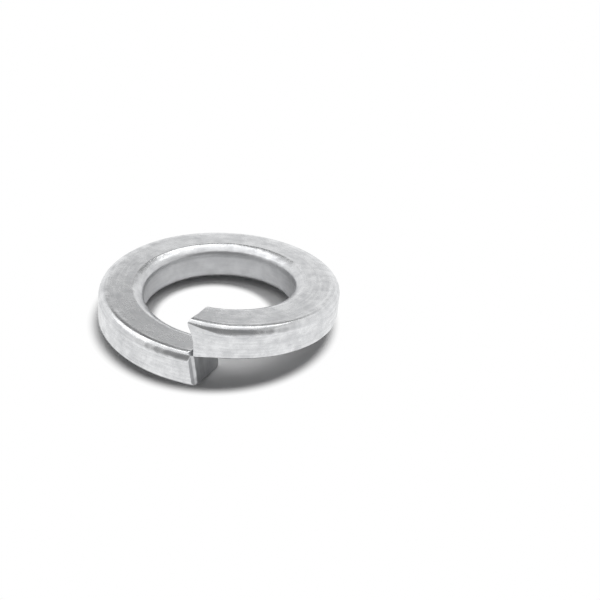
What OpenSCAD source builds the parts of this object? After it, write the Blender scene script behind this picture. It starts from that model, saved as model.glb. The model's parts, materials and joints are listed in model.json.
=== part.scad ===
// Spring lock washer: one turn of rolled spring wire, coiled left-handed and
// sheared off at a slant, so that one end stands above the other.
// Sizes are in millimetres. The bore's axis is Z, the split is at the front (-Y),
// and the lowest point, under the low end, is at Z = 0.

/* [Ring] */
// Inside diameter, which clears the bolt
bore_d = 16.3; // [15.5:0.1:17.5]
// Width of the wire's section, from the bore to the rim
section_w = 4.95; // [4.4:0.05:6]
// Thickness of the wire's section, half-way between bore and rim
section_t = 3.8; // [3.4:0.05:4.6]
// How much thicker the section is at the bore than at the rim
keystone = 0.2; // [0:0.02:0.4]
// Height that the underside climbs in one full turn
climb = 3.65; // [2.5:0.05:4.5]

/* [Rounded edges] */
// Round between the top face and the rim
rim_top_round = 0.7; // [0.4:0.02:0.9]
// Round between the top face and the bore
bore_top_round = 1.2; // [0.6:0.02:1.4]
// Round between the underside and the rim
rim_under_round = 0.5; // [0.3:0.02:0.8]
// Round between the underside and the bore
bore_under_round = 0.6; // [0.3:0.02:0.9]

/* [Split] */
// Angle from the front to the low end's cut, at the rim and at mid-thickness
low_cut_angle = 8.4; // [0:0.2:20]
// Slant of both cuts from the radius, seen from above, in degrees
cut_skew = 18; // [6:1:24]
// Lean of both cuts from upright, in degrees
cut_lean = 10; // [0:1:16]
// Clear width between the two cuts where they pass each other
split_gap = 0.3; // [0.2:0.05:1]

/* [Marks of the shear] */
// Width of the rolled-over strip on the low end's face, measured in from the rim
rollover_w = 0.8; // [0.6:0.05:1.2]
// How far that strip runs back along the rim
rollover_back = 0.3; // [0.1:0.05:0.6]
// Length of the flat that the blade ironed on the rim before the high end
flat_len = 2.9; // [1.5:0.1:4]
// Depth of that flat at the tip
flat_depth = 0.12; // [0.05:0.01:0.3]

/* [Smoothness] */
// Degrees of the turn from one section to the next
turn_step = 3; // [2:0.5:6]
// Steps along each rounded edge
round_steps = 5; // [3:1:8]

/* [Hidden] */

bore_r = bore_d / 2;
rim_r = bore_r + section_w;
// Where the rollover strip begins
strip_r = rim_r - rollover_w;
// The high end's cut stands one turn further round, less the gap, plus what the
// lean of the cuts gives over one turn's climb
high_cut_angle = low_cut_angle + 360 + arc_angle(climb * tan(cut_lean) - split_gap);
flat_start = high_cut_angle - arc_angle(flat_len);
// The sweep reaches into the bore by this much, and the bore's cylinder trims it
proud = 0.12;
// The bore's rounds stop this many degrees short of upright, which leaves the fine
// edge line where a rolled round meets a bore
run_out = 18;
sections = ceil((high_cut_angle - low_cut_angle) / turn_step);

// Angle in degrees of an arc of that length on the rim
function arc_angle(length) = length / rim_r * 180 / PI;

// Heights of the keystone section's faces at radius r, in the section's own frame
function under_z(r) = keystone / 2 * ((r - bore_r) / section_w - 0.5);
function top_z(r) = section_t - under_z(r);

// Depth of the ironed flat at an angle of the turn. It grows as the square of the
// way along, so it leaves the rim without a step
function flat_at(turn) = flat_depth * pow(max(0, (turn - flat_start) / (high_cut_angle - flat_start)), 2);

// Points along a rounded edge from its centre, radius, and first and last angle
function round_edge(centre, radius, from, to) = [
    for (i = [0:round_steps])
        let (a = from + (to - from) * i / round_steps)
        centre + radius * [cos(a), sin(a)]
];

// Angle at which a round of that radius meets a wall that is cut back by depth
function wall_angle(radius, depth) = acos(1 - depth / radius);

// Where a round that stops short of upright meets the plane inside the bore
function into_bore(end, up) = [bore_r - proud, end[1] + up * (end[0] - bore_r + proud) / tan(run_out)];

// The section at an angle of the turn, as [r, z] points: along the underside to the
// rim, up, over the top to the bore, and down
function section(turn) =
    let (
        cut_back = flat_at(turn),
        rim_under = round_edge(
            [rim_r - rim_under_round, under_z(rim_r) + rim_under_round], rim_under_round,
            -90, -wall_angle(rim_under_round, cut_back)),
        rim_top = round_edge(
            [rim_r - rim_top_round, top_z(rim_r) - rim_top_round], rim_top_round,
            wall_angle(rim_top_round, cut_back), 90),
        bore_top = round_edge(
            [bore_r + bore_top_round, top_z(bore_r) - bore_top_round], bore_top_round,
            90, 180 - run_out),
        bore_under = round_edge(
            [bore_r + bore_under_round, under_z(bore_r) + bore_under_round], bore_under_round,
            180 + run_out, 270)
    )
    concat(
        [[strip_r, under_z(strip_r)]], rim_under, rim_top, [[strip_r, top_z(strip_r)]],
        bore_top, [into_bore(bore_top[round_steps], -1)],
        [into_bore(bore_under[0], 1)], bore_under
    );

// Points in one section, and the place in it of the strip's point on the top face
section_points = len(section(low_cut_angle));
strip_top = 2 * (round_steps + 1) + 1;

// Angle of the turn at which a cut that meets the rim at `at` crosses the point
// [r, z]. Seen from above the cut is a straight line, skewed from the radius, and
// it leans back as it goes up
function cut_turn(at, r, z) =
    let (offset = rim_r * sin(cut_skew) - (z - section_t / 2) * tan(cut_lean))
    at + cut_skew - asin(offset / r);

// The rolled-over strip turns the low end's face back towards the rim
function rollover_turn(r) = arc_angle(rollover_back) * max(0, r - strip_r) / rollover_w;

// A point of the coil from its angle of the turn and its [r, z] in the section.
// The turn runs clockwise seen from above, which makes the coil left-handed
function on_turn(turn, p) = [
    -p[0] * sin(turn),
    -p[0] * cos(turn),
    p[1] + climb * turn / 360
];

// One ring of points: each point of the section has gone the same share of its own
// way from the low cut to the high cut, so every ring is skewed as the cuts are
function ring(share) =
    let (outline = section(low_cut_angle + (high_cut_angle - low_cut_angle) * share))
    [
        for (p = outline)
            let (
                low = cut_turn(low_cut_angle, p[0], p[1]) + rollover_turn(p[0]),
                high = cut_turn(high_cut_angle, p[0], p[1])
            )
            on_turn(low + (high - low) * share, p)
    ];

// Depth of the low end's lowest point below the middle of the underside
foot = -min([for (p = ring(0)) p[2]]);

// The wire's skin, closed by the two sheared faces. The low one is in two parts:
// the cut itself and the rolled-over strip
module wire() {
    n = section_points;
    skin = [
        for (i = [0:sections - 1], k = [0:n - 1])
            [i * n + k, i * n + (k + 1) % n, (i + 1) * n + (k + 1) % n, (i + 1) * n + k]
    ];
    strip = [for (k = [strip_top:-1:0]) k];
    cut = concat([0], [for (k = [n - 1:-1:strip_top]) k]);
    high_face = [for (k = [0:n - 1]) sections * n + k];
    polyhedron(
        points = [for (i = [0:sections]) each ring(i / sections)],
        faces = concat(skin, [strip, cut, high_face])
    );
}

module lock_washer() {
    color([0.78, 0.79, 0.8])
        translate([0, 0, foot])
            difference() {
                wire();
                translate([0, 0, -section_t])
                    cylinder(h = 3 * section_t + climb, r = bore_r, $fn = 180);
            }
}

lock_washer();
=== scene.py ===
# %% [markdown]
# # A spring lock washer under a soft studio light
#
# A spring lock washer is one turn of rolled steel wire. It is coiled like a spring,
# sheared off at a slant and plated with zinc, and it lies on a white table with one
# end standing above the other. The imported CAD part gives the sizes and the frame, and
# this script makes the fine shape, the finish and the light around it.

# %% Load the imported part
import json
import math

import bpy
import numpy as np
from mathutils import Matrix, Vector, noise


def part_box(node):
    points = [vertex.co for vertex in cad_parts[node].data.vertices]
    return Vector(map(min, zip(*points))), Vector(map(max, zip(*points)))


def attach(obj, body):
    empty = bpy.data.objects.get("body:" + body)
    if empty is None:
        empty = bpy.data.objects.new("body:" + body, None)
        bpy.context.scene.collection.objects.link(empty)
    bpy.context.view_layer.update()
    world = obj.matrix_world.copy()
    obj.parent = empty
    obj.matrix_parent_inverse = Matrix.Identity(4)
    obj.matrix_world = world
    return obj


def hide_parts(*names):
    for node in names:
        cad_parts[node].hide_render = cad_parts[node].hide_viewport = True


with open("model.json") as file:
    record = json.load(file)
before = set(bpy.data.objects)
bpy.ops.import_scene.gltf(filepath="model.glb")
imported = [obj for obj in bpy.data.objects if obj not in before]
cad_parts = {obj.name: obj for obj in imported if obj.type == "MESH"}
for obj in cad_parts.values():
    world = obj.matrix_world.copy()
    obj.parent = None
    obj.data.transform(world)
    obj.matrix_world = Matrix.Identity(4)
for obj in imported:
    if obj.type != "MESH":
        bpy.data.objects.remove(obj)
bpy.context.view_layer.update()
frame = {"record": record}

# %% [markdown]
# Blender works in metres and in linear light, while a drawing gives millimetres and a
# colour chart gives sRGB hex values, so one constant and one function convert them. A
# node tree can be wired by hand in the shader editor. In a script each node takes five
# or six calls, so one function makes them all: it adds a node, sets it up and links it.

# %% Units, colours and nodes
MM = 0.001


def linear(hex_colour, strength=1.0):
    """The linear RGBA colour of an sRGB hex value, such as C8C9CB."""
    channels = [int(hex_colour[i:i + 2], 16) / 255 for i in (0, 2, 4)]
    return [
        strength * (c / 12.92 if c <= 0.04045 else ((c + 0.055) / 1.055) ** 2.4)
        for c in channels
    ] + [1.0]


def add(tree, kind, values=None, links=None, stops=(), **settings):
    """Adds a node to tree, sets it up, and links its sockets to other nodes' outputs.

    A colour ramp takes its colours from stops, which are (place, hex colour) pairs.
    """
    node = tree.nodes.new(kind)
    for name, value in settings.items():
        setattr(node, name, value)
    for socket, value in (values or {}).items():
        node.inputs[socket].default_value = value
    for socket, source in (links or {}).items():
        tree.links.new(source, node.inputs[socket])
    for n, (place, colour) in enumerate(stops):
        elements = node.color_ramp.elements
        stop = elements[n] if n < 2 else elements.new(place)  # a new ramp has two stops
        stop.position, stop.color = place, linear(colour)
    return node


print("mid grey C8C9CB in linear light:", [round(c, 3) for c in linear("C8C9CB")[:3]])

# %% [markdown]
# The wire's section is a keystone, a little thicker at the bore than at the rim, because
# bending the wire into a ring squeezes its inner side. All four edges are rolled round,
# the one over the bore the most. Every size could be typed in here, but then the mesh
# would no longer fit if the part changed. So the two that hold it in place come from
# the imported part: the bore from its mount, and the rim from its box.

# %% Sizes of the washer
mounts = {mount["name"]: mount for mount in frame["record"]["mounts"]}
box_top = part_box("lock_washer")[1]
HAIR = 0.003  # mm by which the rim stays inside the part's box

bore_r = mounts["bore"]["dims"]["r_mm"]
rim_r = box_top.x / MM - HAIR
section_w = rim_r - bore_r
section_t = 3.8
keystone = 0.2
climb = 3.65
rim_top_round = (0.82, 0.98)  # how far each round reaches in from the side, and down
bore_top_reach = 1.235  # the round over the bore reaches in this far
rim_under_round = (0.5, 0.5)
bore_under_round = (0.62, 0.62)
print(f"section {section_w:.2f} x {section_t} mm, ring {2 * rim_r:.2f} mm across")

# %% [markdown]
# The camera stands where the photographer stood. It could be moved about by eye, but
# distance, lens and tilt all change the picture in similar ways. So it was worked out
# from the ring's outline: the line of sight comes down at 28.5 degrees to the ring's
# plane, and the lens is a short telephoto, 76 mm on a 36 mm sensor.

# %% Camera
scene = bpy.context.scene
LENS_PX, FRAME_PX, SENSOR_MM = 1270.6, 600, 36  # the lens in pixels of the frame, which has 600
RING_SEEN = Vector((-0.70257, -0.22258, -10.76832))  # the ring from the camera, in rim radii
look_down = math.radians(61.52)
roll_side, roll_front = math.radians(5.037), math.radians(0.235)
foot = 0.08 * MM  # the ring's middle underside starts this high over the lowest point

lens = bpy.data.cameras.new("studio_camera")
lens.sensor_width = SENSOR_MM
lens.lens = LENS_PX / FRAME_PX * SENSOR_MM
lens.clip_start, lens.clip_end = 0.01, 10
camera = bpy.data.objects.new("studio_camera", lens)
scene.collection.objects.link(camera)
camera.matrix_world = (
    Matrix.Translation((0, 0, foot))
    @ Matrix.Rotation(-roll_front, 4, "X")
    @ Matrix.Rotation(-roll_side, 4, "Y")
    @ Matrix.Rotation(look_down, 4, "X")
    @ Matrix.Translation(-RING_SEEN * rim_r * MM)
)
scene.camera = camera
print("camera at, in mm:", [round(c / MM, 1) for c in camera.matrix_world.translation])

# %% [markdown]
# The section's edges come out of the rolls as rounds, and each has its own shape. A
# rectangle with bevelled corners would give all four one shape, so they are drawn
# point by point. An ellipse does for three of them. The fourth, over the bore, leaves
# the top face at a faint edge, slopes gently and then turns down steeply, so it is
# drawn by how steeply it falls along its way.

# %% Lines and rounds
def under_z(r):
    """Height in mm of the keystone section's underside at the radius r."""
    return keystone / 2 * ((r - bore_r) / section_w - 0.5)


def top_z(r):
    return section_t - under_z(r)


def rounded(centre_r, centre_z, reach, start, stop, steps):
    """Points along an elliptical round, between two angles."""
    angles = np.radians(np.linspace(start, stop, steps + 1))
    return np.stack([centre_r + reach[0] * np.cos(angles), centre_z + reach[1] * np.sin(angles)], 1)


def falling(start, way, slopes, steps):
    """Points inwards from start, and down by slopes in degrees, given at lengths along the way."""
    along = np.linspace(0, way[-1], steps + 1)
    fall = np.radians(np.interp((along[1:] + along[:-1]) / 2, way, slopes))
    moves = np.stack([-np.cos(fall), -np.sin(fall)], 1) * way[-1] / steps
    return np.array(start) + np.concatenate([[[0, 0]], np.cumsum(moves, 0)])


def straight(start, stop, steps):
    """Points on the way from start to stop, without the two."""
    shares = np.linspace(0, 1, steps + 1)[1:-1, None]
    return np.array(start) * (1 - shares) + np.array(stop) * shares


print(f"section {top_z(bore_r) - under_z(bore_r):.2f} mm thick at the bore, "
      f"{top_z(rim_r) - under_z(rim_r):.2f} at the rim")

# %% [markdown]
# Rolled rounds don't run smoothly into the sides. Most of them stop short of upright,
# which leaves a fine edge line at the bore and at the rim. A full quarter of an ellipse
# would have no such line. At the other end of the round over the rim it is the other
# way: the top face eases down into it, so that no line shows there. The rounds get
# close points, because they carry the highlights.

# %% The rounds on the edges
BORE_RUN_OUT = 18  # degrees that the round under the bore stops short of upright
RIM_RUN_OUT = 12  # and the round over the rim
EASE_FROM, EASE_LEN, EASE_DROP = 82, 0.42, 0.026  # the top face eases down into that round
SMALL_STEPS, LARGE_STEPS, EASE_STEPS = 8, 20, 7  # along the rounds underneath, those on top, the ease
# The round over the bore: lengths along it in mm, and how steeply it falls there in degrees
BORE_WAY, BORE_FALL = [0, 1.12, 1.42, 1.72], [15, 40, 74, 80]


def slope(degrees):
    return math.tan(math.radians(degrees))


def rounds():
    """The four rounds, and the way that the top face eases into the round over the rim."""
    rim_under = rounded(
        rim_r - rim_under_round[0], under_z(rim_r) + rim_under_round[1], rim_under_round,
        -90, 0, SMALL_STEPS)
    rim_top = rounded(
        rim_r - rim_top_round[0], top_z(rim_r) - rim_top_round[1] - EASE_DROP, rim_top_round,
        RIM_RUN_OUT, EASE_FROM, LARGE_STEPS)
    ease_slope = rim_top_round[1] / rim_top_round[0] / slope(EASE_FROM)
    share = np.linspace(0, 1, EASE_STEPS + 1)[1:]
    ease_z = rim_top[-1][1] + ease_slope * EASE_LEN / 2 * (1 - (1 - share) ** 2)
    ease = np.stack([rim_top[-1][0] - EASE_LEN * share, ease_z], 1)
    bore_top = falling([bore_r + bore_top_reach, top_z(bore_r)], BORE_WAY, BORE_FALL, LARGE_STEPS)
    bore_under = rounded(
        bore_r + bore_under_round[0], under_z(bore_r) + bore_under_round[1], bore_under_round,
        180 + BORE_RUN_OUT, 270, SMALL_STEPS)
    return rim_under, rim_top, ease, bore_top, bore_under


print(f"the round over the bore goes {BORE_WAY[-1]} mm and ends {BORE_FALL[-1]} degrees steep")

# %% [markdown]
# The section is a closed outline of [r, z] points: along the underside to the rim, up,
# back over the top face, and down the bore. A curve object could hold it, but it holds
# little more than the points. Here each part of the outline also says how round it is,
# for the waviness, and how matt: the rolls burnished the rounds, and the coiling
# mandrel scuffed the bore. Matt places are also drawn a darker grey, and in the bore that
# darker grey is partly painted shade.

# %% The wire's section
FLAT_STEPS, RIM_STEPS, BORE_STEPS = 16, 12, 9  # along the two faces, the rim and the bore


def section_outline():
    """The section's points, and how round and how matt the surface is at each, from 0 to 1."""
    rim_under, rim_top, ease, bore_top, bore_under = rounds()
    rim_line = [rim_r, rim_top[0][1] - (rim_r - rim_top[0][0]) / slope(RIM_RUN_OUT)]
    wall_top = [bore_r, bore_top[-1][1] - (bore_top[-1][0] - bore_r) * slope(BORE_FALL[-1])]
    wall_foot = [bore_r, bore_under[0][1] + (bore_under[0][0] - bore_r) / slope(BORE_RUN_OUT)]
    parts = [  # each with its roundness and its mattness
        (straight(bore_under[-1], rim_under[0], FLAT_STEPS), 0, 0.4),
        (rim_under, 1, 0.2),
        (straight(rim_under[-1], rim_line, RIM_STEPS), 0, 0.25),
        (np.array([rim_line]), 0.8, 0.15),
        (rim_top, np.linspace(1.3, 0.3, len(rim_top)), np.linspace(0.45, 0.1, len(rim_top))),
        (ease, 0.2, 0.1),
        (straight(ease[-1], bore_top[0], FLAT_STEPS), 0, 0.35),
        (bore_top, 0.8, np.linspace(0.15, 0.85, len(bore_top))),
        (np.array([wall_top]), 0.5, 1),
        (straight(wall_top, wall_foot, BORE_STEPS), 0, 1),
        (np.array([wall_foot]), 0.5, 1),
        (bore_under, 1, 0.7),
    ]
    points = np.concatenate([part for part, _, _ in parts])
    found = [np.concatenate([np.full(len(part[0]), part[n], float) for part in parts]) for n in (1, 2)]
    return points, *found


outline, roundness, mattness = section_outline()
steps_round = np.roll(outline, -1, 0) - np.roll(outline, 1, 0)
outline_normals = np.stack([steps_round[:, 1], -steps_round[:, 0]], 1)
outline_normals /= np.linalg.norm(outline_normals, axis=1)[:, None]
round_way = np.concatenate(
    [[0], np.cumsum(np.linalg.norm(np.diff(outline, axis=0, append=outline[:1]), axis=1))])
print(f"section of {len(outline)} points, {round_way[-1]:.1f} mm round")

# %% [markdown]
# The wire runs clockwise from above, from the low end at the front, once round and up
# to the high end. One slanted blow of the shear makes both ends, so both cuts slant about
# the same way: skewed from the radius as seen from above, and leaning back as they rise.
# The blade also leaves its marks: a rolled-over strip where it entered at the low end,
# a flat ironed onto the rim before the high end, and a burr drawn down below it. They
# could be sculpted by hand, but as numbers they can be set one by one. Lengths are in
# mm and angles in degrees.

# %% Sizes of the cuts and of the blade's marks
# Degrees from the front to the low end's cut at the rim, and the skew of both cuts
LOW_CUT, LOW_SKEW, HIGH_SKEW = 8.4, 16.5, 13.5
LOW_LEAN = slope(10)
# Where the high end's cut meets the rim: heights in mm, and degrees past one full turn
HIGH_EDGE = [0, 0.9, 1.6, 2.2, 2.65, 3.05, 3.45, 3.8], [8.75, 9.0, 9.5, 10.4, 11.3, 12.25, 12.8, 12.05]
# The rolled-over strip's width, and two lines in from the rim: the strip folds there, and outwards of them
# it is rougher and painted a darker shade
STRIP_W, DULL_SHADE_FROM, DULL_SHADE_TO = 0.65, 0.42, 0.34
# The rolled-over strip, by how far each line lies in from the rim and back from the cut
STRIP_LINES = [STRIP_W, DULL_SHADE_FROM, DULL_SHADE_TO, 0], [0, 0.17, 0.18, 0.33]
STRIP_RAGS = (0.03, 5.1, 0), (0.02, 11, 1)  # its waves: depth in mm, radians per mm up, and start
CORNER_W, CORNER_Z, CORNER_BACK = 1.7, 3.4, 0.34  # the top corner, which the blade broke back further
CORNER_RISE = 0.25, 0.4  # mm in which it gets there, upwards and outwards
FLAT_LEN, FLAT_EDGE = 2.95, (19, 44)  # the flat takes the round up to these angles, start and tip
PRESS_LEN, PRESS = 4.4, 0.5  # how far back from the high end's tip the blade pressed, and how deep
BURR_LEN, BURR_DROP = 3.2, 0.3  # and the same for the burr
print(f"the flat is {FLAT_LEN} mm long, and the burr hangs {BURR_DROP} mm down")

# %% [markdown]
# A boolean with a slanted block could make the cuts, but it would leave a ragged mesh.
# Here every point of the section knows the turn at which each cut crosses it, so the
# mesh ends in the cuts.

# %% Where the cuts cross the wire
def rise(distance, length):
    """A share that rises from 0 at no distance to 1 at the length."""
    return np.clip(distance / length, 0, 1)


def fade(distance, length):
    """A share that fades from 1 at no distance to 0 at the length."""
    return np.clip(1 - distance / length, 0, 1)


def arc_angle(length):
    """Degrees of the turn that a length along the rim takes."""
    return np.degrees(length / rim_r)


def skewed(skew, r, offset=0):
    """Degrees of the turn that a straight slanted cut gains from the rim to the radius r."""
    return skew - np.degrees(np.arcsin((rim_r * math.sin(math.radians(skew)) - offset) / r))


def low_end(r, z):
    """Turn at which the low end's cut crosses [r, z], with the strip along the rim rolled back."""
    ragged = sum(depth * np.sin(pace * z + start) for depth, pace, start in STRIP_RAGS)
    strip = np.interp(r + ragged, rim_r - np.array(STRIP_LINES[0]), STRIP_LINES[1])
    corner = rise(z - CORNER_Z, CORNER_RISE[0]) * rise(r - rim_r + CORNER_W, CORNER_RISE[1])
    back = arc_angle(np.maximum(strip, CORNER_BACK * corner))
    return LOW_CUT + skewed(LOW_SKEW, r, (z - section_t / 2) * LOW_LEAN) + back


def high_end(r, z):
    """Turn at which the high end's cut crosses [r, z]."""
    return 360 + np.interp(z, *HIGH_EDGE) + skewed(HIGH_SKEW, r)


print(f"at the rim the low end's cut is at {low_end(rim_r, section_t / 2):.1f} degrees, "
      f"the high end's at {high_end(rim_r, section_t / 2):.1f}")

# %% [markdown]
# The section is repeated at stations along the wire. Even steps would be simplest, but
# the broken edges of the cuts need points a few hundredths of a millimetre apart, and
# that many all along would make the mesh several times as heavy. So the stations are
# packed at the cuts, and a little closer than elsewhere where the blade pressed the
# wire.

# %% Stations along the wire
def on_turn(turn, r, z):
    """Points in space, in mm, from the angle of the turn and the place in the section."""
    angle = np.radians(turn)
    return np.stack([-r * np.sin(angle), -r * np.cos(angle), z + climb * turn / 360], -1)


wire_length = math.radians(high_end(rim_r, section_t / 2) - LOW_CUT) * rim_r
near_cut = np.array([0, 0.02, 0.05, 0.09, 0.14, 0.2, 0.28, 0.38, 0.5, 0.65, 0.82])  # mm from it
STEP, CLOSE_STEP = 0.16, 0.11
STEP_FROM, STEP_TO, CLOSE_FROM, CLOSE_TO = 0.98, 3.4, 3.3, 0.9  # from the nearer cut
stations = np.concatenate([
    near_cut, np.arange(STEP_FROM, wire_length - STEP_TO, STEP),
    np.arange(wire_length - CLOSE_FROM, wire_length - CLOSE_TO, CLOSE_STEP),
    wire_length - near_cut[::-1]])
print(f"{wire_length:.1f} mm along the rim in {len(stations)} stations")

# %% [markdown]
# Rolled wire is never quite true. Its rounds waver by a hundredth of a millimetre, and
# that is enough to fray the dark line under the highlight. A bump map could fake it,
# but the edge between two bands would stay ruler-straight. So the waviness is in the
# mesh: slow along the wire, quick across it, strong on the rounds, slight on the flats.

# %% Waviness of the rolled surface
# Heights in mm: of the slow wave on rounds and on flats, of the quick one on rounds, and of
# the broad one everywhere
ROUND_WAVE, FLAT_WAVE, QUICK_WAVE, BROAD_WAVE = 0.015, 0.003, 0.009, 0.006
# Each wave's length in mm along the wire and across it, and where it starts in the noise
SLOW, QUICK, BROAD = (1.6, 0.7, 5.3), (0.5, 0.45, 31), (6, 3, 77)


def wave(shape, along, r, z):
    """Noise from -1 to 1 that is stretched along the wire."""
    length, across, start = shape
    return noise.noise(Vector((along / length + start, r / across, z / across)))


def waviness(along, r, z, share):
    """Height in mm of the rolled surface over the true one. share is how round it is there."""
    rolled = wave(SLOW, along, r, z) * (FLAT_WAVE + (ROUND_WAVE - FLAT_WAVE) * share)
    quick = QUICK_WAVE * share ** 2 * wave(QUICK, along, r, z)
    return rolled + quick + BROAD_WAVE * wave(BROAD, along, r, z)


print(f"waviness at the first station's rim: {1000 * waviness(0, rim_r, section_t / 2, 0):.1f} micrometres")

# %% [markdown]
# The skin is the section repeated all along the wire, before the wire is bent round. The
# waves move its points in and out. A displace modifier would do that at the end, when
# the cuts are already made, and would push them out of line. So the waves come first,
# and the cuts follow the moved points. The sharp edges of the cuts are broken here as
# well, because a perfectly sharp edge catches no light. Sizes are in millimetres.

# %% The skin of the wire
EDGE_BREAK, EDGE_LEN = 0.045, 0.06  # the edges of both cuts are broken by a few hundredths
TURN_DOWN, TURN_LEN = 0.06, 0.25  # the low end's upper corner, which the blade turned down further
# That corner begins this far in from the rim and up from the underside, and has its full
# share after the second length of each pair
TURN_IN, TURN_UP = (1, 0.6), (2.2, 1.2)
WAVE_LEN = 0.3  # the waves are full this far from the cuts
SINK = 0.014  # the whole skin lies this deep in the outline, so that no wave leaves the part's box
RAGGED, RAG_LEN = 0.09, 0.6  # how far and how quickly the line under the rim's round wavers
LINE_Z, LINE_W, LINE_DEPTH = 2.95, 0.6, 0.3  # its height, and how far it takes the skin along


def rolled_skin(from_low, from_high):
    """The section's r and z at every station, with the waves of the rolls and the broken edges."""
    waves = np.array([
        [waviness(s, p[0], p[1], k) for p, k in zip(outline, roundness)] for s in stations])
    nearest = np.minimum(from_low, from_high)
    corner = rise(outline[:, 0] - rim_r + TURN_IN[0], TURN_IN[1])
    corner = corner * rise(outline[:, 1] - TURN_UP[0], TURN_UP[1])
    broken = EDGE_BREAK * fade(nearest, EDGE_LEN) ** 2
    broken = broken + TURN_DOWN * fade(from_low, TURN_LEN) ** 2 * corner
    out = waves * rise(nearest, WAVE_LEN) - broken - SINK
    ragged = np.array([noise.noise(Vector((s / RAG_LEN, 7.0, 0.0))) for s in stations])[:, None]
    near_line = fade(np.abs(outline[:, 1] - LINE_Z), LINE_W) * (outline[:, 0] > rim_r - LINE_DEPTH)
    r = outline[:, 0] + outline_normals[:, 0] * out
    z = outline[:, 1] + outline_normals[:, 1] * out + RAGGED * ragged * near_line
    return r, z


print(f"the skin lies {1000 * SINK:.0f} micrometres inside the outline")

# %% [markdown]
# A curve with a bevel profile, or a screw modifier, sweeps a section too, but both keep
# it at right angles to the path. Here the section has to shear gradually, so that its
# first ring lies in the low cut and its last one in the high cut. Each point therefore
# goes its own way from cut to cut, and every ring is the same share of that way. On the
# way the points take the marks of the blade: the flat, the burr and the pressing.

# %% Sweep the section along the turn
FLAT_START, FLAT_SINK = 0.35, 0.012  # the flat begins over this length, and lies this much deeper
BURR_UP = 1.6  # the burr reaches this far up the section
# The pressing begins this far in from the rim and is full after the second length. Along
# the wire it fades as this power
PRESS_IN, PRESS_RISE, PRESS_FADE = 2.4, 1.5, 1.3


def pressed_share(r, z):
    """How much of the pressing a point of the section takes: all of it at the upper corner."""
    return rise(z, section_t) * rise(r - rim_r + PRESS_IN, PRESS_RISE)


def swept():
    """Rings of points, one ring for each station, and each point's r and z before the pressing."""
    from_low, from_high = stations[:, None], wire_length - stations[:, None]
    r, z = rolled_skin(from_low, from_high)
    # The ironed flat cuts the rim and its round back to one plane
    edge = np.interp(from_high, [0, FLAT_LEN, FLAT_LEN + FLAT_START], [FLAT_EDGE[1], FLAT_EDGE[0], 0])
    flat = rim_top_round[0] * (1 - np.cos(np.radians(edge)))
    r = np.where(flat > 0, np.minimum(r, rim_r - FLAT_SINK - flat), r)
    # The burr draws the underside down at the high end, most of all at the rim
    burr = BURR_DROP * fade(from_high, BURR_LEN) ** 2
    z = z - burr * fade(outline[:, 1], BURR_UP) ** 2 * rise(outline[:, 0] - bore_r, section_w)
    low, high = low_end(r, z), high_end(r, z)
    turn = low + (high - low) * (from_low / wire_length)
    # The blow that made the flat also pressed the high end's upper corner inwards
    pressed = r - PRESS * fade(from_high, PRESS_LEN) ** PRESS_FADE * pressed_share(r, z)
    return on_turn(turn, pressed, z), r, z


rings, ring_r, ring_z = swept()
print(f"swept {rings.shape[0]} rings of {rings.shape[1]} points")

# %% [markdown]
# The two sheared faces close the wire. One many-sided face would do, but it would be
# dead flat. So each is a set of shrinking copies of the section's outline around its
# middle, which leaves room for relief: the face bulges slightly, as steel does when it
# is sheared, and fine scores run down it in the direction that the blade took.

# %% The sheared faces
# Sizes of the copies, which lie closer where the rolled-over strip ends on the face
FACE_STEPS = np.array(
    [0.985, 0.96, 0.92, 0.88, 0.85, 0.835, 0.79, 0.745, 0.73, 0.66, 0.56, 0.44, 0.3, 0.15])
FACE_BULGE = 0.06  # mm
SCORE_DEPTH, SCORE_GAP, SCORE_LEN = 0.012, 0.16, 1.5  # mm
SCORE_START = 8  # the scores are at full depth an eighth of the way in


def on_face(r, z, end, side, relief):
    """Points on a sheared face, moved out of the cut by its relief, with their r and z."""
    turn = end(r, z) + side * arc_angle(relief)
    pressed = r - PRESS * pressed_share(r, z) * (side > 0)
    return on_turn(turn, pressed, z), r, z


def sheared_face(edge_r, edge_z, end, side):
    """Rings that close one end, as (points, r, z). side is 1 for the high end, -1 for the low."""
    middle_r, middle_z = edge_r.mean(), edge_z.mean()
    found = []
    for step in FACE_STEPS:
        r, z = middle_r + (edge_r - middle_r) * step, middle_z + (edge_z - middle_z) * step
        score = np.array([
            noise.noise(Vector((a / SCORE_GAP, b / SCORE_LEN, side))) for a, b in zip(r, z)])
        scored = SCORE_DEPTH * score * min(1, SCORE_START * (1 - step))
        found.append(on_face(r, z, end, side, FACE_BULGE * (1 - step ** 2) + scored))
    found.append(on_face(np.array([middle_r]), np.array([middle_z]), end, side, FACE_BULGE))
    return found


low_face = sheared_face(ring_r[0], ring_z[0], low_end, -1)
high_face = sheared_face(ring_r[-1], ring_z[-1], high_end, 1)
print(f"each sheared face has {len(FACE_STEPS)} rings and a middle point")

# %% [markdown]
# The rings of points become one closed mesh of quads, with a fan of triangles in the
# middle of each sheared face. A skin modifier or a grid fill could make the faces, but
# then their order isn't known, and here each corner gets its place on the UV map as it
# is made. The map holds the way along the wire and round it in millimetres, so that the
# rolling lines can follow the wire. Each face also gets the number of its material.

# %% Faces of the skin and of the ends
ROLLED, SHEARED, ROLLED_OVER = 0, 1, 2


def skin_faces():
    """Quads between the rings, and the place of each of their corners on the UV map."""
    count, points = ring_r.shape
    faces, places = [], []
    for i in range(count - 1):
        for k in range(points):
            j = (k + 1) % points
            faces.append((i * points + k, i * points + j, (i + 1) * points + j, (i + 1) * points + k))
            a, b, c, d = stations[i], stations[i + 1], round_way[k], round_way[k + 1]
            places += [(a, c), (a, d), (b, d), (b, c)]
    return faces, places, [ROLLED] * len(faces)


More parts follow.
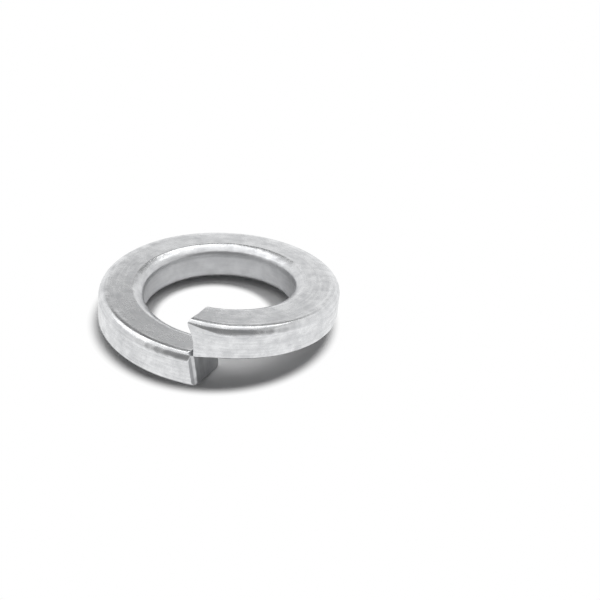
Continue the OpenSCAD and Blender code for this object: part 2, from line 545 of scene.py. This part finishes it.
def end_faces(end, outer, outer_r, outer_z, start, low):
    """Faces from the ring that begins at point outer inwards. The end's own points begin at start."""
    faces, places, grounds = [], [], []
    points = len(outer_r)
    for ring, r, z in end:
        for k in range(points):
            j = (k + 1) % points
            face, place = [outer + k, outer + j], [(outer_z[k], outer_r[k]), (outer_z[j], outer_r[j])]
            inner = (j, k) if len(ring) > 1 else (0,)  # the last ring is a single point
            face += [start + n for n in inner]
            place += [(z[n], r[n]) for n in inner]
            faces.append(face[::-1] if low else face)
            places += place[::-1] if low else place
            in_strip = low and outer_r[k] > rim_r - STRIP_W and outer_z[k] < CORNER_Z
            grounds.append(ROLLED_OVER if in_strip else SHEARED)
        outer, outer_r, outer_z, start = start, r, z, start + len(ring)
    return faces, places, grounds


print("materials are numbered", ROLLED, SHEARED, "and", ROLLED_OVER)

# %% [markdown]
# A material can't know that the bore was scuffed and the edges burnished, and painting
# it by hand would be lost when the mesh changes. So the mesh carries one more number at
# every point, which says how matt the surface is there. The shader reads it as an
# attribute, and makes matt places rougher and a darker grey. The darker grey is partly
# painted shade, in the bore and on the outer part of the rolled-over strip.

# %% Build the mesh
def washer_mesh(name):
    """The mesh of the whole washer in metres, with its UV map, materials and mattness."""
    skin_points, points = rings.shape[0] * rings.shape[1], rings.shape[1]
    high_start = skin_points + sum(len(r) for _, r, _ in low_face)
    groups = (
        skin_faces(),
        end_faces(low_face, 0, ring_r[0], ring_z[0], skin_points, True),
        end_faces(high_face, skin_points - points, ring_r[-1], ring_z[-1], high_start, False))
    faces, places, grounds = [sum(lists, []) for lists in zip(*groups)]
    verts = np.concatenate([rings.reshape(-1, 3)] + [ring for ring, _, _ in low_face + high_face])
    verts[:, 2] += foot / MM
    mesh = bpy.data.meshes.new(name)
    mesh.from_pydata((verts * MM).tolist(), [], faces)
    layer = mesh.uv_layers.new(name="wire_way")
    layer.data.foreach_set("uv", np.array(places, np.float32).ravel())
    # The outer part of the rolled-over strip is rougher and a darker grey; the darker grey is painted shade
    low_r = np.concatenate([r for _, r, _ in low_face])
    matt_and_shade_share = np.zeros(len(verts), np.float32)
    matt_and_shade_share[:skin_points] = np.tile(mattness, rings.shape[0])
    matt_and_shade_share[skin_points:high_start] = np.interp(low_r, [rim_r - DULL_SHADE_FROM, rim_r - DULL_SHADE_TO], [0, 1])
    mesh.attributes.new("matt", "FLOAT", "POINT").data.foreach_set("value", matt_and_shade_share)
    mesh.polygons.foreach_set("use_smooth", [True] * len(faces))
    mesh.polygons.foreach_set("material_index", grounds)
    mesh.update()
    return mesh


washer = bpy.data.objects.new("lock_washer_wire", washer_mesh("lock_washer_wire"))
scene.collection.objects.link(washer)
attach(washer, "root")
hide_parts("lock_washer")
print(f"washer mesh: {len(washer.data.vertices)} points, {len(washer.data.polygons)} faces")

# %% [markdown]
# The washer is a coil, so it doesn't lie flat on its frame's XY plane. It rests on the
# low end's foot at the front and on the outer edge of its underside at the back. It
# could be tilted to stand on a level table, but its frame is fixed, so the table goes
# to the washer instead: it is the plane through both places.

# %% Table under the washer
contact_front, contact_back = 0.65 * rim_r, 0.97 * rim_r  # how far the two are from the axis
slope_back = climb / 2 / (contact_front + contact_back)
slope_side = climb / (2 * math.pi * contact_back)
verts = np.array([v.co for v in washer.data.vertices])
table_z = float((verts[:, 2] - slope_side * verts[:, 0] - slope_back * verts[:, 1]).min())
REACH = 1.5  # metres from the middle of the table to its edges

corners = [
    (x, y, table_z + slope_side * x + slope_back * y)
    for x, y in ((-REACH, -REACH), (REACH, -REACH), (REACH, REACH), (-REACH, REACH))
]
table_mesh = bpy.data.meshes.new("white_table")
table_mesh.from_pydata(corners, [], [(0, 1, 2, 3)])
table = bpy.data.objects.new("white_table", table_mesh)
scene.collection.objects.link(table)
print(f"table rises {math.degrees(math.atan(slope_back)):.1f} degrees to the back, "
      f"{math.degrees(math.atan(slope_side)):.1f} to the right")

# %% [markdown]
# The table is matt white acrylic, the usual sheet under small parts in a studio. A sheet
# swept up behind the washer would show a grey bend, and stronger lamps would spoil the
# metal. So the table glows pure white where it is seen directly or in the metal, from a
# little past the rim outwards and in the middle of the bore. This glow is painted light:
# it covers the outer part of the washer's cast shadow and the shade in the bore. On a
# ring from inside the bore to just past the rim the table is an ordinary lit surface,
# which keeps its shadow there.

# %% White acrylic
def seen_rays(tree):
    """Is Camera Ray, and whether the camera sees the place directly, in metal or through glass."""
    path = add(tree, "ShaderNodeLightPath")
    seen = add(
        tree, "ShaderNodeMath",
        links={0: path.outputs["Is Camera Ray"], 1: path.outputs["Is Glossy Ray"]}, operation="MAXIMUM")
    seen = add(
        tree, "ShaderNodeMath", links={0: seen.outputs[0], 1: path.outputs["Is Transmission Ray"]},
        operation="MAXIMUM")
    return path.outputs["Is Camera Ray"], seen.outputs[0]


# The table keeps its real shadow on a ring. In mm from the ring's middle, painted white
# light covers the shadow from the first number of each pair to the second, outwards and
# inwards
RING_MIDDLE, BLEND_OUT, BLEND_IN = (-0.4, 0.5), (12.4, 14.1), (7.3, 6.1)

acrylic = bpy.data.materials.new("matt_white_acrylic")
acrylic.use_nodes = True
tree = acrylic.node_tree
tree.nodes.clear()
place = add(tree, "ShaderNodeTexCoord")
about = add(
    tree, "ShaderNodeMapping",
    {"Location": (-RING_MIDDLE[0], -RING_MIDDLE[1], 0), "Scale": (1 / MM, 1 / MM, 0)},
    {"Vector": place.outputs["Object"]})
distance = add(tree, "ShaderNodeVectorMath", links={0: about.outputs["Vector"]}, operation="LENGTH")
# Painted light: where these two masks rise, a white glow covers the table's shadow
outside, inside = [
    add(tree, "ShaderNodeMapRange", {"From Min": start, "From Max": stop},
        {"Value": distance.outputs["Value"]}, interpolation_type="SMOOTHSTEP")
    for start, stop in (BLEND_OUT, BLEND_IN)]
glow_over_shade = add(
    tree, "ShaderNodeMath", links={0: outside.outputs["Result"], 1: inside.outputs["Result"]},
    operation="MAXIMUM")
_, seen = seen_rays(tree)
share = add(tree, "ShaderNodeMath", links={0: seen, 1: glow_over_shade.outputs[0]}, operation="MULTIPLY")
sheet = add(
    tree, "ShaderNodeBsdfPrincipled", {"Base Color": linear("FCFCFC"), "Roughness": 0.6, "IOR": 1.49})
# A painted white glow laid over the shadow, which no lamp gives
painted_glow = add(tree, "ShaderNodeEmission", {"Color": linear("FFFFFF"), "Strength": 1.0})
blend = add(
    tree, "ShaderNodeMixShader",
    links={0: share.outputs[0], 1: sheet.outputs[0], 2: painted_glow.outputs[0]})
add(tree, "ShaderNodeOutputMaterial", links={"Surface": blend.outputs[0]})
table_mesh.materials.append(acrylic)
print("table material:", acrylic.name)

# %% [markdown]
# Plated metal shows its surroundings, so the studio matters as much as the plate. A
# panorama picture could stand for it, but three colour ramps do, blended by direction,
# and each tone can be set alone. Behind and beside the washer the room is pale, behind
# the camera it is mid grey. High up behind the washer a dark band lies between the wall
# and the lamps, and this band draws the dark line along the rounds.

# %% The room
ROOM_FILL = 0.038  # what the room adds to the lamps' light on plain surfaces
room = bpy.data.worlds.new("studio_room")
scene.world = room
room.use_nodes = True
tree = room.node_tree
tree.nodes.clear()
way = add(tree, "ShaderNodeTexCoord")
axes = add(tree, "ShaderNodeSeparateXYZ", links={0: way.outputs["Generated"]})

# Each ramp goes by the sine of the height above the horizon: 0 level, 1 straight up
behind, beside, before = [
    add(tree, "ShaderNodeValToRGB", links={0: axes.outputs["Z"]}, stops=stops) for stops in (
        [(0.0, "FFFFFF"), (0.3, "F8F8F8"), (0.45, "F0F0F0"), (0.58, "ECECEC"), (0.65, "5C5C5C"),
         (0.76, "5C5C5C"), (0.84, "808080")],
        [(0.0, "FCFCFC"), (0.68, "F4F4F4"), (0.8, "C8C8C8"), (0.9, "8C8C8C")],
        [(0.0, "9A9A9A"), (0.6, "929292")])]
# Degrees round from straight behind, either way, and between which of them the side walls
# blend into the back wall and into the front one
TO_BACK, TO_FRONT = (50, 15), (100, 140)
turned = add(
    tree, "ShaderNodeMath", links={0: axes.outputs["X"], 1: axes.outputs["Y"]}, operation="ARCTAN2")
turned = add(tree, "ShaderNodeMath", links={0: turned.outputs[0]}, operation="ABSOLUTE")
turned = add(tree, "ShaderNodeMath", links={0: turned.outputs[0]}, operation="DEGREES")
to_back, to_front = [
    add(tree, "ShaderNodeMapRange", {"From Min": start, "From Max": stop},
        {"Value": turned.outputs[0]}, interpolation_type="SMOOTHSTEP")
    for start, stop in (TO_BACK, TO_FRONT)]
sides = add(
    tree, "ShaderNodeMix",
    links={0: to_back.outputs["Result"], 6: beside.outputs["Color"], 7: behind.outputs["Color"]},
    data_type="RGBA")
walls = add(
    tree, "ShaderNodeMix",
    links={0: to_front.outputs["Result"], 6: sides.outputs[2], 7: before.outputs["Color"]},
    data_type="RGBA")
# The camera itself sees a white backdrop on every side
direct, seen = seen_rays(tree)
backdrop = add(
    tree, "ShaderNodeMix", {7: linear("FFFFFF")}, {0: direct, 6: walls.outputs[2]}, data_type="RGBA")
shown = add(tree, "ShaderNodeBackground", {"Strength": 1.0}, {"Color": backdrop.outputs[2]})
fill = add(tree, "ShaderNodeBackground", {"Color": linear("FFFFFF"), "Strength": ROOM_FILL})
blend = add(tree, "ShaderNodeMixShader", links={0: seen, 1: fill.outputs[0], 2: shown.outputs[0]})
add(tree, "ShaderNodeOutputWorld", links={"Surface": blend.outputs[0]})
print("room:", room.name, "with a fill of", ROOM_FILL)

# %% [markdown]
# A softbox is a lamp behind a large white cloth. In plain metal it shows as a bright
# shape with soft edges, and along a round it shrinks to a thin bright line. A point
# lamp would make a hard spark there. Area lamps facing down do what the cloth does,
# and each is given by the brightness of its cloth, where 1 shows as white in a mirror.

# %% Softboxes
def softbox(name, place, size, radiance):
    """A flat area lamp that faces down, by its middle and its size in metres and its radiance."""
    lamp = bpy.data.lights.new(name, "AREA")
    lamp.shape, lamp.size, lamp.size_y = "RECTANGLE", size[0], size[1]
    lamp.energy = radiance * math.pi * size[0] * size[1]
    box = bpy.data.objects.new(name, lamp)
    box.location = place
    scene.collection.objects.link(box)
    return box


softbox("softbox_over", (-0.195, 0.055, 0.5), (0.97, 0.2), 0.9)
softbox("softbox_wide", (-0.195, 0.21, 0.5), (0.97, 0.11), 1.95)
softbox("softbox_back", (0.055, 0.34, 0.5), (0.11, 0.15), 1.95)
# The table's own light doesn't show in the metal, so the plate isn't overlit from above
softbox("table_light", (-0.15, 0.1, 0.5), (0.9, 0.32), 0.9).visible_glossy = False
# The reflector over the camera shows in the metal, and is too weak to light the table
softbox("reflector_front", (-0.2, -0.11, 0.5), (0.9, 0.12), 1.05).visible_diffuse = False

# %% [markdown]
# Bright zinc plate is a few thousandths of a millimetre of zinc, laid on the steel in a
# barrel of plating bath. It is a pale metal with a trace of blue. It is too thin to
# hide the steel, so the lines of the rolls show through along the wire, and so do
# cloudy patches where the acid bit more or less before the plating. One even grey would
# look like chrome or plastic. So three noises give the marks: a soft mottle, one
# stretched along the wire for the lines, and a broad one for the clouds.

# %% Marks of the rolls and the bath
MOTTLE = 1.1  # mm across one of the soft patches of barrel plating
# Rolling lines run 6 mm along the wire. Real ones are 0.05 mm apart, and are drawn
# 0.28 mm apart here, so that they show
LINE_LEN, LINE_GAP = 6.25, 1 / 3.6
CLOUD_LEN, CLOUD_W = 1 / 0.3, 1 / 0.55  # 3.3 mm long and 1.8 mm wide


def plate_marks(tree):
    """The mottle, the rolling lines, and a mix of both with the clouds, as outputs from 0 to 1."""
    way = add(tree, "ShaderNodeUVMap", uv_map="wire_way")
    place = add(tree, "ShaderNodeTexCoord")
    mottle = add(
        tree, "ShaderNodeTexNoise", {"Scale": 1 / (MOTTLE * MM), "Detail": 5.0, "Roughness": 0.62},
        {"Vector": place.outputs["Object"]})
    drawn = add(
        tree, "ShaderNodeMapping", {"Scale": (1 / LINE_LEN, 1 / LINE_GAP, 1.0)},
        {"Vector": way.outputs["UV"]})
    lines = add(
        tree, "ShaderNodeTexNoise", {"Scale": 1.0, "Detail": 4.0, "Roughness": 0.6},
        {"Vector": drawn.outputs["Vector"]})
    mixed = add(
        tree, "ShaderNodeMix", {0: 0.4}, {2: mottle.outputs["Fac"], 3: lines.outputs["Fac"]},
        data_type="FLOAT")
    smeared = add(
        tree, "ShaderNodeMapping", {"Scale": (1 / CLOUD_LEN, 1 / CLOUD_W, 1.0)},
        {"Vector": way.outputs["UV"]})
    clouds = add(
        tree, "ShaderNodeTexNoise", {"Scale": 1.0, "Detail": 3.0, "Roughness": 0.6},
        {"Vector": smeared.outputs["Vector"]})
    mixed = add(
        tree, "ShaderNodeMix", {0: 0.25}, {2: mixed.outputs[0], 3: clouds.outputs["Fac"]},
        data_type="FLOAT")
    return mottle.outputs["Fac"], lines.outputs["Fac"], mixed.outputs[0]


print(f"rolling lines drawn {LINE_GAP:.2f} mm apart")

# %% [markdown]
# The marks are also shallow relief, which breaks up the highlights. At a few hundredths
# of a millimetre a bump map does as well as real displacement and costs no mesh. Bumps
# are chained: each takes the normal that the one before it gives, so all of them add
# up. Two of them are only relief: the fine grain of the plate, and a few sparse pits.

# %% Relief of the plate
GRAIN = 0.28  # mm, so that it shows. On the real plate it is a few hundredths of a millimetre
PIT_GAP = 1.6  # mm from one pit to the next
PIT_EDGE = 0.015, 0.06  # where a pit's wall starts and ends, in gaps from its middle


def plate_relief(tree, mottle, lines):
    """The normal of the plated surface."""
    place = add(tree, "ShaderNodeTexCoord")
    grain = add(
        tree, "ShaderNodeTexNoise", {"Scale": 1 / (GRAIN * MM), "Detail": 2.0, "Roughness": 0.55},
        {"Vector": place.outputs["Object"]})
    cells = add(
        tree, "ShaderNodeTexVoronoi", {"Scale": 1 / (PIT_GAP * MM), "Randomness": 1.0},
        {"Vector": place.outputs["Object"]})
    pits = add(
        tree, "ShaderNodeMapRange", {"From Min": PIT_EDGE[0], "From Max": PIT_EDGE[1]},
        {"Value": cells.outputs["Distance"]}, interpolation_type="SMOOTHSTEP")
    normal = None
    for height, strength, depth in (  # the depth is in mm
            (lines, 0.35, 0.02), (mottle, 0.28, 0.03), (grain.outputs["Fac"], 0.32, 0.02),
            (pits.outputs["Result"], 0.3, 0.03)):
        before_it = {"Normal": normal} if normal else {}
        bump = add(
            tree, "ShaderNodeBump", {"Strength": strength, "Distance": depth * MM},
            {"Height": height, **before_it})
        normal = bump.outputs["Normal"]
    return normal


print(f"grain drawn {GRAIN} mm wide, pits up to {2 * PIT_EDGE[1] * PIT_GAP:.2f} mm")

# %% [markdown]
# A metal's base colour is what it gives back of the light, and its IOR stays at the
# default. The roughness does the rest. Burnished plate is near 0.2, where a lamp shows
# as a crisp line, and dull plate is near 0.5, where the room melts into one grey. Both
# follow the mattness that the mesh carries, and the marks shift both a little, because
# a surface is never equally smooth all over.

# %% Zinc plate
MARKS_TONE, MARKS_ROUGH = (0.38, 0.58), (0.38, 0.6)  # the range of the marks that each one uses
# The matt grey is darker than the plate, and is partly painted shade
MATT_SHADE_TONE = 0.75  # how far the mattest places go towards the matt grey
PATCHY = 0.06, -0.05  # what the marks add to the roughness, from the darkest to the brightest


def zinc(name, grey_low, grey_high, grey_matt_shaded, rough_low, rough_high):
    """Zinc plate, marked between two greys, that gets rougher where the mesh is matt, and a darker grey
    there that is partly painted shade.
    """
    material = bpy.data.materials.new(name)
    material.use_nodes = True
    tree = material.node_tree
    tree.nodes.clear()
    matt = add(tree, "ShaderNodeAttribute", attribute_name="matt")
    mottle, lines, marks = plate_marks(tree)

    tone = add(
        tree, "ShaderNodeValToRGB", links={0: marks}, stops=zip(MARKS_TONE, (grey_low, grey_high)))
    shade_and_dull = add(tree, "ShaderNodeMath", {1: MATT_SHADE_TONE}, {0: matt.outputs["Fac"]}, operation="MULTIPLY")
    colour = add(
        tree, "ShaderNodeMix", {7: linear(grey_matt_shaded)}, {0: shade_and_dull.outputs[0], 6: tone.outputs["Color"]},
        data_type="RGBA")
    patchy = add(
        tree, "ShaderNodeMapRange",
        {"From Min": MARKS_ROUGH[0], "From Max": MARKS_ROUGH[1], "To Min": PATCHY[0], "To Max": PATCHY[1]},
        {"Value": marks})
    rough = add(
        tree, "ShaderNodeMapRange", {"To Min": rough_low, "To Max": rough_high},
        {"Value": matt.outputs["Fac"]})
    rough = add(
        tree, "ShaderNodeMath", links={0: rough.outputs["Result"], 1: patchy.outputs["Result"]},
        operation="ADD")
    shader = add(
        tree, "ShaderNodeBsdfPrincipled", {"Metallic": 1.0},
        {"Base Color": colour.outputs[2], "Roughness": rough.outputs[0],
         "Normal": plate_relief(tree, mottle, lines)})
    add(tree, "ShaderNodeOutputMaterial", links={"Surface": shader.outputs[0]})
    return material


print(f"burnished zinc gives back {linear('C9CACC')[0]:.2f} to {linear('F0F1F2')[0]:.2f} of the light")

# %% [markdown]
# The same plate looks different on three grounds. The rolled skin is smooth, so it is
# bright, with crisp highlights. The sheared faces are torn steel, and their fine steps
# scatter the light into an even grey. Their dark grey is partly painted shade. The
# rolled-over strip was smeared by the blade and lies between the two, and its darker
# grey is partly painted shade as well. One material could tell them apart by the mesh's
# numbers, but three are easier to read. Each face has its material's number, 0, 1 or 2,
# and Blender takes the materials in that order.

# %% Plate on its three grounds
# The greys are low, high and matt. The sheared faces' and the strip's greys, and the rolled skin's matt
# grey, are partly painted shade
for ground in (
        ("zinc_plate_on_rolled_steel", "C9CACC", "F0F1F2", "C4C5C7", 0.19, 0.46),
        ("zinc_plate_on_sheared_steel_and_painted_shade", "9A9B9D", "B0B1B3", "A0A1A3", 0.46, 0.55),
        ("zinc_plate_on_rolled_over_edge_and_painted_shade", "B8B9BB", "D4D5D6", "96979A", 0.33, 0.4)):
    washer.data.materials.append(zinc(*ground))
print("materials:", ", ".join(m.name for m in washer.data.materials))

# %% [markdown]
# The Standard view shows a colour as it was written. The default view compresses bright
# tones, which would turn the white table grey.

# %% View settings
scene.view_settings.view_transform = "Standard"

# %% [markdown]
# The last call prints the washer's piece and the table that it lies on. The part's own
# plain solid, which the washer stands for, was hidden when the washer was built.

# %% Finish
print("piece:", washer.name, "on the floor:", table.name)
